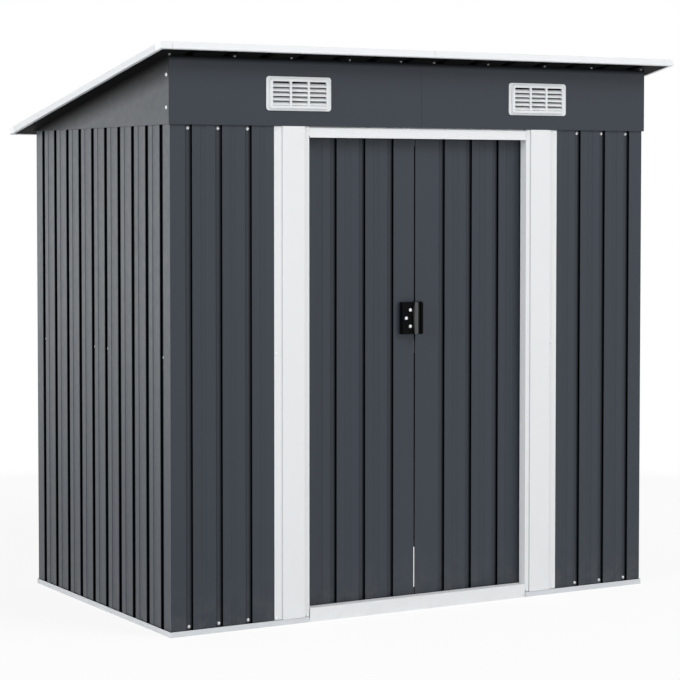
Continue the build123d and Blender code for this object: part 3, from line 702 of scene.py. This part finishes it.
def vent_finish(name):
    """White plastic with painted grey shade in the depth of the louvres."""
    paint = bpy.context.scene.shed_paint
    material, tree, place, _ = start_finish(name)
    grain = mould_grain(tree, place, paint.vent_colour)
    low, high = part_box("vent_left")
    middle = (low + high) / 2
    half = (high - low) / 2
    depth = maths(tree, "SUBTRACT", component(tree, place, "Y"), low.y)
    # Painted shade, greying the louvres with depth
    recess = product(tree, smooth_step(tree, depth, *LOUVRE_DEPTHS), paint.vent_shade)
    across = maths(tree, "ADD", maths(tree, "ABSOLUTE", component(tree, place, "X")), middle.x)
    upright = maths(tree, "SUBTRACT", component(tree, place, "Z"), middle.z)
    for offset, reach in ((across, half.x - VENT_SIDE_BORDER), (upright, half.z - VENT_END_BORDER)):
        inside = maths(tree, "LESS_THAN", maths(tree, "ABSOLUTE", offset), reach)
        recess = product(tree, recess, inside)
    colour = mix_colour(tree, recess, grain["Colour"], opaque(paint.louvre_shade_colour))
    return end_finish(material, colour, grain, paint.vent_roughness)


def grip_finish(name):
    """Black plastic whose fin carries a grey face on the side of the grip."""
    paint = bpy.context.scene.shed_paint
    material, tree, place, facing = start_finish(name)
    grain = mould_grain(tree, place, paint.grip_colour)
    low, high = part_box("door_handle_left")
    turned = one_less(tree, smooth_step(tree, component(tree, facing, "X"), *FIN_SIDE_TURNS))
    fin = maths(tree, "GREATER_THAN", component(tree, place, "X"), (low.x + high.x) / 2)
    side = product(tree, turned, fin)
    colour = mix_colour(tree, side, grain["Colour"], opaque(paint.fin_side_colour))
    return end_finish(material, colour, grain, paint.grip_roughness, paint.grip_gloss)


def finish_nodes(material, *names):
    """Give CAD pieces a finish."""
    for name in names:
        for slot in frame["nodes"][name].material_slots:
            slot.link = "OBJECT"
            slot.material = material


def both_sides(*names):
    """The left and right piece of each name."""
    return [name + side for name in names for side in ("_left", "_right")]


def mesh_from(name, bm):
    """A mesh made from bmesh data, which it frees."""
    mesh = bpy.data.meshes.new(name)
    bm.to_mesh(mesh)
    bm.free()
    return mesh


def add_object(name, data):
    """A new object in the scene."""
    made = bpy.data.objects.new(name, data)
    bpy.context.scene.collection.objects.link(made)
    return made


# Mesh of the fixings

def ring(bm, place, radius, height, segments):
    """A circle of points round the screw's own axis, starting beside the first arm of the cross."""
    points = []
    for number in range(segments):
        angle = math.tau * (number / segments) - math.pi / CROSS_POINTS
        local = Vector((radius * math.cos(angle), radius * math.sin(angle), height))
        points.append(bm.verts.new(place @ local))
    return points


def skin(bm, lower, upper):
    """Quads between two rings of as many points."""
    count = len(lower)
    for number in range(count):
        after = (number + 1) % count
        bm.faces.new((lower[number], lower[after], upper[after], upper[number]))


def cross_points(reach, half_width):
    """Outline of a cross recess, with its first point at the first arm's right tip."""
    tip_angle = math.atan2(half_width, reach)
    points = []
    for arm in range(4):
        middle = math.tau * arm / 4
        tip = math.hypot(reach, half_width)
        points.append((tip, middle - tip_angle))
        points.append((tip, middle + tip_angle))
        points.append((half_width * math.sqrt(2), middle + math.tau / 8))
    return [(radius * math.cos(angle), radius * math.sin(angle)) for radius, angle in points]


def add_screw(bm, place):
    """A pan-head screw with a cross recess on its washer, its axis along the place's Z."""
    screw = bpy.context.scene.shed_screws
    washer = screw.washer_width / 2
    head = screw.head_width / 2
    base = screw.washer_height
    top = base + screw.head_height
    profile = [(washer * across, base * up) for across, up in WASHER_PROFILE]
    profile += [(head * across, base + screw.head_height * up) for across, up in HEAD_PROFILE]
    rings = [ring(bm, place, radius, height, screw.segments) for radius, height in profile]
    bm.faces.new(list(reversed(rings[0])))
    for lower, upper in zip(rings, rings[1:]):
        skin(bm, lower, upper)
    outline = cross_points(head * CROSS_REACH, head * CROSS_HALF_WIDTH)
    depths = (top, top - screw.head_height * CROSS_DEPTH)
    rim, floor = [[bm.verts.new(place @ Vector((x, y, z))) for x, y in outline] for z in depths]
    step = screw.segments // CROSS_POINTS
    for number in range(CROSS_POINTS):
        after = (number + 1) % CROSS_POINTS
        outer = [rings[-1][(number * step + extra) % screw.segments] for extra in range(step + 1)]
        bm.faces.new(outer + [rim[after], rim[number]])
    skin(bm, rim, floor)
    bm.faces.new(floor)


def add_nut(bm, place):
    """A hexagon nut on the end of its screw."""
    screw = bpy.context.scene.shed_screws
    half = screw.nut_width / 2
    nut = [ring(bm, place, half, height, 6) for height in (0.0, screw.nut_height)]
    stud = [ring(bm, place, half * STUD_WIDTH, height, 12)
            for height in (screw.nut_height, screw.nut_height * STUD_HEIGHT)]
    for foot, top in (nut, stud):
        bm.faces.new(list(reversed(foot)))
        skin(bm, foot, top)
        bm.faces.new(top)


def placed(point, outward, spin):
    """A place on a face, with its Z along the face's outward direction."""
    turn = Vector(outward).to_track_quat("Z", "Y").to_matrix().to_4x4()
    return Matrix.Translation(Vector(point)) @ turn @ Matrix.Rotation(spin, 4, "Z")


def make_piece(name, fill_mesh, body, material):
    """A new mesh piece that rides on a body."""
    bm = bmesh.new()
    fill_mesh(bm)
    bm.normal_update()
    for face in bm.faces:
        face.smooth = True
    for edge in bm.edges:
        edge.smooth = len(edge.link_faces) == 2 and edge.calc_face_angle() < SHARP_EDGE
    piece = add_object(name, mesh_from(name, bm))
    piece.data.materials.append(material)
    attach(piece, body)


def screws_piece(name, points, body="root", maker=add_screw, material=None):
    """Like fixings joined in one piece, from (point, outward) pairs."""
    turns = random.Random(f"{RANDOM_SEED} {name}")

    def fill_mesh(bm):
        for point, outward in points:
            maker(bm, placed(point, outward, turns.uniform(0, math.tau)))
    make_piece(name, fill_mesh, body, material or screw_zinc())


def screw_zinc():
    """Bright zinc of the screws, built on its first use."""
    colour = bpy.context.scene.shed_paint.screw_colour
    return bpy.data.materials.get("screw_zinc") or zinc_finish("screw_zinc", colour, *SCREW_ZINC)


def groove_middles(node):
    """Where a ribbed sheet's grooves have their middles, read from its own mesh."""
    inward, along, _ = RIBBED_SHEETS[node]
    deep = sheet_face(node) + GROOVE_DEPTH
    near = 0.2 * SHEET_THICKNESS
    floor = sorted({round(vertex.co.dot(Vector(along)), 4)
                    for vertex in frame["nodes"][node].data.vertices
                    if abs(vertex.co.dot(Vector(inward)) - deep) < near})
    return [(first + second) / 2 for first, second in zip(floor[::2], floor[1::2])]


# Operators

class SHED_OT_paint_walls(bpy.types.Operator):
    """Paint the ribbed wall sheets"""
    bl_idname = "shed.paint_walls"
    bl_label = "Paint walls"

    def execute(self, context):
        for node in (*both_sides("front_panel", "side_wall"), "rear_wall"):
            finish_nodes(ribbed_paint(node + "_paint", node), node)
        return {"FINISHED"}


class SHED_OT_make_door_leaves(bpy.types.Operator):
    """Make the door leaves, folded less deep where they meet, so that light shows between them"""
    bl_idname = "shed.make_door_leaves"
    bl_label = "Make door leaves"

    def execute(self, context):
        fold_end = DOOR_FACE + context.scene.shed_folds.meeting_fold
        meeting_edge = -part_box("door_sheet_left")[1].x
        for side in ("left", "right"):
            bm = bmesh.new()
            bm.from_mesh(frame["nodes"]["door_sheet_" + side].data)
            for vertex in bm.verts:
                if abs(vertex.co.x) < meeting_edge + 2 * SHEET_THICKNESS:
                    vertex.co.y = min(vertex.co.y, fold_end)
            leaf = add_object("door_leaf_" + side, mesh_from("door_leaf_" + side, bm))
            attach(leaf, "door_" + side)
            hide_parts("door_sheet_" + side)
        return {"FINISHED"}


class SHED_OT_paint_doors(bpy.types.Operator):
    """Paint the ribbed door leaves"""
    bl_idname = "shed.paint_doors"
    bl_label = "Paint doors"

    def execute(self, context):
        for node, leaf in zip(both_sides("door_sheet"), both_sides("door_leaf")):
            bpy.data.objects[leaf].data.materials.append(ribbed_paint(leaf + "_paint", node))
        return {"FINISHED"}


class SHED_OT_paint_upper_panels(bpy.types.Operator):
    """Paint the fascia, the gables and the roof sheets"""
    bl_idname = "shed.paint_upper_panels"
    bl_label = "Paint upper panels and roof"

    def execute(self, context):
        finish_nodes(eave_paint("fascia_paint", *FASCIA_SHADE), *both_sides("fascia"))
        finish_nodes(eave_paint("gable_paint", *GABLE_SHADE), *both_sides("gable"))
        finish_nodes(roof_paint("roof_paint"), *both_sides("roof_sheet"), "roof_sheet_middle")
        return {"FINISHED"}


class SHED_OT_paint_trims(bpy.types.Operator):
    """Paint the white posts, head rail and roof edging"""
    bl_idname = "shed.paint_trims"
    bl_label = "Paint white trims"

    def execute(self, context):
        paint = context.scene.shed_paint
        finish_nodes(post_paint("post_paint"), *both_sides("door_post"))
        finish_nodes(pale_paint("trim_paint", paint.trim_colour, TRIM_TONE),
                     *both_sides("roof_trim_front"), "door_head_rail", "roof_corner_caps")
        # The side and rear edging get the greyed trim white as painted shade
        finish_nodes(pale_paint("side_trim_paint", paint.side_trim_shaded_colour, TRIM_TONE),
                     *both_sides("roof_trim"), "roof_trim_rear")
        return {"FINISHED"}


class SHED_OT_paint_base(bpy.types.Operator):
    """Paint the base rails and the sill"""
    bl_idname = "shed.paint_base"
    bl_label = "Paint base"

    def execute(self, context):
        paint = context.scene.shed_paint
        finish_nodes(pale_paint("base_paint", paint.base_colour, BASE_TONE, paint.dust_share),
                     *both_sides("base_rail", "base_rail_front"), "base_rail_rear")
        finish_nodes(pale_paint("sill_paint", paint.trim_colour, BASE_TONE, paint.dust_share),
                     "door_sill")
        return {"FINISHED"}


class SHED_OT_finish_frame(bpy.types.Operator):
    """Galvanise the inner rails, the tracks and the roof beam"""
    bl_idname = "shed.finish_frame"
    bl_label = "Galvanise inner frame"

    def execute(self, context):
        finish_nodes(zinc_finish("rail_zinc", context.scene.shed_paint.zinc_colour, *RAIL_ZINC),
                     *both_sides("top_rail", "mid_rail", "door_rails"),
                     "door_track", "top_rail_front", "top_rail_rear", "mid_rail_rear", "roof_beam")
        return {"FINISHED"}


class SHED_OT_finish_vents(bpy.types.Operator):
    """Give the louvred vents their white plastic"""
    bl_idname = "shed.finish_vents"
    bl_label = "Finish vents"

    def execute(self, context):
        finish_nodes(vent_finish("vent_plastic"), *both_sides("vent"))
        return {"FINISHED"}


class SHED_OT_finish_handles(bpy.types.Operator):
    """Give the handles and the glides their black plastic"""
    bl_idname = "shed.finish_handles"
    bl_label = "Finish handles"

    def execute(self, context):
        finish_nodes(handle_finish("handle_plastic"), "door_handle_right", *both_sides("door_glides"))
        finish_nodes(grip_finish("grip_plastic"), "door_handle_left")
        return {"FINISHED"}


class SHED_OT_round_folds(bpy.types.Operator):
    """Round the folds of the sheets and the edges of the plastic"""
    bl_idname = "shed.round_folds"
    bl_label = "Round folds"

    def execute(self, context):
        folds = context.scene.shed_folds
        plastic = set(both_sides("vent", "door_handle", "door_glides"))
        leaves = {name: bpy.data.objects[name] for name in both_sides("door_leaf")}
        for name, piece in {**frame["nodes"], **leaves}.items():
            weld = piece.modifiers.new("weld_corners", "WELD")
            weld.merge_threshold = WELD_DISTANCE
            bevel = piece.modifiers.new("round_folds", "BEVEL")
            bevel.width = folds.plastic_edge if name in plastic else folds.sheet_fold
            bevel.segments = folds.fold_segments
            bevel.limit_method = "ANGLE"
            bevel.angle_limit = folds.fold_angle
            bevel.use_clamp_overlap = True
            bevel.harden_normals = True
        return {"FINISHED"}


class SHED_OT_screw_walls(bpy.types.Operator):
    """Put the rows of screws in the grooves of the walls"""
    bl_idname = "shed.screw_walls"
    bl_label = "Screw walls"

    def execute(self, context):
        screw = context.scene.shed_screws
        top = WALL_TOP - screw.top_row_drop
        bottom = BASE_LIP_TOP + screw.bottom_row_rise
        middle = screw.mid_row_height
        points = []
        for node in both_sides("front_panel"):
            for x in groove_middles(node):
                points += [((x, FRONT_FACE + GROOVE_DEPTH, z), (0, -1, 0)) for z in (bottom, top)]
        for node, face, out in (("side_wall_left", LEFT_FACE, -1), ("side_wall_right", RIGHT_FACE, 1)):
            middles = groove_middles(node)
            half = len(middles) // 2
            for y in (middles[0], middles[half - 1], middles[half], middles[-1]):
                points.append(((face - out * GROOVE_DEPTH, y, middle), (out, 0, 0)))
        for x in groove_middles("rear_wall")[::2]:
            points += [((x, REAR_FACE - GROOVE_DEPTH, z), (0, 1, 0)) for z in (bottom, middle, top)]
        screws_piece("wall_screws", points)
        return {"FINISHED"}


class SHED_OT_screw_upper_panels(bpy.types.Operator):
    """Put the nuts under the front eave and the screws on the gables' front edges"""
    bl_idname = "shed.screw_upper_panels"
    bl_label = "Screw upper panels"

    def execute(self, context):
        screw = context.scene.shed_screws
        nuts = [(place, tuple(-roof_outward())) for place in eave_places()]
        # The nuts under the eave take zinc darkened as painted shade
        shaded_nut_zinc = zinc_finish("nut_zinc", context.scene.shed_paint.nut_shaded_colour, *SCREW_ZINC)
        screws_piece("eave_nuts", nuts, maker=add_nut, material=shaded_nut_zinc)
        points = []
        for side in (-1, 1):
            for rise in (screw.gable_low_rise, screw.gable_high_rise):
                points.append(((side * -GABLE_FACE, FASCIA_FACE + screw.gable_inset,
                                WALL_TOP + rise), (side, 0, 0)))
        screws_piece("gable_screws", points)
        return {"FINISHED"}


def eave_places():
    """Where the nuts sit on the roof's underside, in one row in front of each half of the fascia."""
    screw = bpy.context.scene.shed_screws
    rear, front = roof_underside()
    y = FASCIA_FACE - screw.eave_row_reach
    height = rear.lerp(front, (y - rear.y) / (front.y - rear.y)).z
    ribs = roof_ribs()
    room = roof_flats()[-1] + screw.head_width
    places = []
    for side, first in ((-1, screw.eave_left_first), (1, screw.eave_right_first)):
        for number in range(int((room - first) / screw.eave_pitch) + 1):
            x = clear_of_ribs(side * (first + number * screw.eave_pitch), ribs)
            places.append(Vector((x, y, height)))
    return places


def clear_of_ribs(x, ribs):
    """The place moved just off a roof rib when it falls on one."""
    room = bpy.context.scene.shed_screws.rib_room
    near = min(ribs, key=lambda rib: abs(rib - x))
    if abs(near - x) >= room:
        return x
    return near + math.copysign(room, x - near)


class SHED_OT_screw_posts(bpy.types.Operator):
    """Put the screws on the flanges of the door posts"""
    bl_idname = "shed.screw_posts"
    bl_label = "Screw door posts"

    def execute(self, context):
        screw = context.scene.shed_screws
        face = FRONT_FACE - SHEET_THICKNESS
        post = -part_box("door_post_left")[0].x
        heights = (WALL_TOP - screw.top_row_drop, BASE_LIP_TOP + screw.post_foot_rise)
        insets = (screw.post_outer_inset, screw.post_inner_inset)
        ends = [(inset, height) for height in heights for inset in insets]
        points = []
        for side, middle_inset in ((-1, screw.post_left_inset), (1, screw.post_right_inset)):
            for inset, height in [(middle_inset, screw.mid_row_height), *ends]:
                points.append(((side * (post - inset), face, height), (0, -1, 0)))
        screws_piece("post_screws", points)
        return {"FINISHED"}


class SHED_OT_screw_roof(bpy.types.Operator):
    """Put the rows of screws in the flats of the roof"""
    bl_idname = "shed.screw_roof"
    bl_label = "Screw roof"

    def execute(self, context):
        outward = roof_outward()
        rear, front = roof_underside()
        rows = [rear.lerp(front, share).yz for share in ROOF_ROWS]
        places = [Vector((x, *row)) for x in roof_flats() for row in rows] + eave_places()
        points = [(place + outward * SHEET_THICKNESS, tuple(outward)) for place in places]
        screws_piece("roof_screws", points)
        return {"FINISHED"}


def roof_ribs():
    """Where the roof's ribs have their middles, read from the sheets' own meshes."""
    outward = roof_outward()
    rib_top = roof_underside()[0].dot(outward) + 0.7 * ROOF_RIB_HEIGHT
    apart = 4 * ROOF_RIB_HEIGHT
    raised = sorted(vertex.co.x for node in (*both_sides("roof_sheet"), "roof_sheet_middle")
                    for vertex in frame["nodes"][node].data.vertices
                    if vertex.co.dot(outward) > rib_top)
    ribs = [[raised[0]]]
    for x in raised[1:]:
        if x - ribs[-1][-1] > apart:
            ribs.append([])
        ribs[-1].append(x)
    return [(rib[0] + rib[-1]) / 2 for rib in ribs]


def roof_flats():
    """Where the flats beside the roof's ribs have their middles."""
    ribs = roof_ribs()
    half_pitch = (ribs[1] - ribs[0]) / 2
    return [ribs[0] - half_pitch] + [rib + half_pitch for rib in ribs]


def roof_outward():
    """Direction straight out of the roof."""
    rear, front = roof_underside()
    slope = (front - rear).normalized()
    return Vector((0, slope.z, -slope.y))


class SHED_OT_screw_handle(bpy.types.Operator):
    """Put three screws in each handle"""
    bl_idname = "shed.screw_handle"
    bl_label = "Screw handles"

    def execute(self, context):
        low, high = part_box("door_handle_left")
        middle = (low.z + high.z) / 2
        for side, places, reach in (("left", GRIP_SCREWS, GRIP_REACH),
                                    ("right", FOOT_SCREWS, FOOT_REACH)):
            points = [((x, DOOR_FACE - reach, middle + rise), (0, -1, 0)) for x, rise in places]
            screws_piece(side + "_handle_screws", points, "door_" + side)
        return {"FINISHED"}


class SHED_OT_build_studio(bpy.types.Operator):
    """Set up the floor, the light and the camera"""
    bl_idname = "shed.build_studio"
    bl_label = "Build studio"

    def execute(self, context):
        build_floor(context)
        build_sky(context)
        build_lamps(context)
        build_camera(context)
        context.scene.view_settings.view_transform = "Standard"
        return {"FINISHED"}


def seen_by_eye_or_gloss(tree):
    """1 for what the camera sees straight, mirrored or through glass, and 0 for plain light."""
    path = tree.nodes.new("ShaderNodeLightPath")
    seen = maths(tree, "MAXIMUM", path.outputs["Is Camera Ray"], path.outputs["Is Glossy Ray"])
    return maths(tree, "MAXIMUM", seen, path.outputs["Is Transmission Ray"])


def build_floor(context):
    """A pale floor that keeps the shed's shadow and is white away from it."""
    studio = context.scene.shed_studio
    bm = bmesh.new()
    bmesh.ops.create_grid(bm, x_segments=1, y_segments=1, size=studio.floor_size / 2)
    floor = add_object("studio_floor", mesh_from("studio_floor", bm))
    floor.location.z = CAD_BOX[0].z - FLOOR_GAP
    material = bpy.data.materials.new("studio_floor")
    material.use_nodes = True
    tree = material.node_tree
    tree.nodes.clear()
    pale = add_node(tree, "ShaderNodeBsdfDiffuse", {"Color": opaque(studio.floor_colour)})
    glow = add_node(tree, "ShaderNodeEmission", {"Color": (1, 1, 1, 1), "Strength": 1.0})
    place = tree.nodes.new("ShaderNodeTexCoord").outputs["Object"]
    far = add_node(tree, "ShaderNodeVectorMath", {0: place}, operation="LENGTH").outputs["Value"]
    fade = smooth_step(tree, far, studio.floor_fade_start, studio.floor_fade_end)
    glow_share = maths(tree, "MAXIMUM", fade, studio.floor_glow)
    share = maths(tree, "MULTIPLY", seen_by_eye_or_gloss(tree), glow_share)
    mixed = add_node(tree, "ShaderNodeMixShader", {0: share, 1: pale.outputs[0], 2: glow.outputs[0]})
    add_node(tree, "ShaderNodeOutputMaterial", {"Surface": mixed.outputs[0]})
    floor.data.materials.append(material)


def build_sky(context):
    """Even light all round, white where it is seen or mirrored."""
    studio = context.scene.shed_studio
    world = bpy.data.worlds.new("studio_sky")
    world.use_nodes = True
    tree = world.node_tree
    tree.nodes.clear()
    seen = seen_by_eye_or_gloss(tree)
    strength = maths(tree, "ADD", maths(tree, "MULTIPLY", seen, 1.0 - studio.sky_strength),
                     studio.sky_strength)
    sky = add_node(tree, "ShaderNodeBackground", {"Color": (1, 1, 1, 1), "Strength": strength})
    add_node(tree, "ShaderNodeOutputWorld", {"Surface": sky.outputs[0]})
    context.scene.world = world


def add_lamp(name, place, aim, size, power):
    """A soft rectangular lamp that points at a place."""
    data = bpy.data.lights.new(name, "AREA")
    data.shape = "RECTANGLE"
    data.size, data.size_y = size
    data.energy = power
    lamp = add_object(name, data)
    lamp.location = place
    lamp.rotation_euler = (Vector(aim) - Vector(place)).to_track_quat("-Z", "Y").to_euler()


def build_lamps(context):
    """A high lamp in front, one behind on the left along the wall, and one in front on the left."""
    for name, (place, aim, size) in LAMPS.items():
        power = getattr(context.scene.shed_studio, name + "_power")
        add_lamp(name + "_lamp", place, aim, size, power)


def build_camera(context):
    """The camera that looks at the doors and along the left wall."""
    studio = context.scene.shed_studio
    data = bpy.data.cameras.new("studio_camera")
    data.lens = studio.camera_lens
    data.shift_x, data.shift_y = studio.camera_shift
    data.clip_end = FAR_CLIP
    camera = add_object("studio_camera", data)
    camera.location = studio.camera_place
    flat = math.cos(studio.camera_tilt)
    aim = Vector((math.sin(studio.camera_turn) * flat, math.cos(studio.camera_turn) * flat,
                  math.sin(studio.camera_tilt)))
    camera.rotation_euler = aim.to_track_quat("-Z", "Y").to_euler()
    context.scene.camera = camera


# The operators in the order in which they run
OPERATORS = (SHED_OT_paint_walls, SHED_OT_make_door_leaves, SHED_OT_paint_doors,
             SHED_OT_paint_upper_panels, SHED_OT_paint_trims, SHED_OT_paint_base,
             SHED_OT_finish_frame, SHED_OT_finish_vents, SHED_OT_finish_handles,
             SHED_OT_round_folds, SHED_OT_screw_walls, SHED_OT_screw_upper_panels,
             SHED_OT_screw_posts, SHED_OT_screw_roof, SHED_OT_screw_handle, SHED_OT_build_studio)


class SHED_PT_dressing(bpy.types.Panel):
    """Lists the steps that dress the shed"""
    bl_idname = "SHED_PT_dressing"
    bl_label = "Shed"
    bl_space_type = "VIEW_3D"
    bl_region_type = "UI"
    bl_category = "Shed"

    def draw(self, context):
        for operator in OPERATORS:
            self.layout.operator(operator.bl_idname)


SETTINGS = {"shed_paint": ShedPaintSettings, "shed_folds": ShedFoldSettings,
            "shed_screws": ShedScrewSettings, "shed_studio": ShedStudioSettings}
CLASSES = (*SETTINGS.values(), *OPERATORS, SHED_PT_dressing)


def register():
    """Register the settings, the operators and the panel."""
    for cls in CLASSES:
        bpy.utils.register_class(cls)
    for name, cls in SETTINGS.items():
        setattr(bpy.types.Scene, name, PointerProperty(type=cls))


def unregister():
    """Take them out again."""
    for name in SETTINGS:
        delattr(bpy.types.Scene, name)
    for cls in reversed(CLASSES):
        bpy.utils.unregister_class(cls)


def main():
    """Dress the shed step by step."""
    register()
    for operator in OPERATORS:
        getattr(bpy.ops.shed, operator.bl_idname.removeprefix("shed."))()


if __name__ == "__main__":
    main()
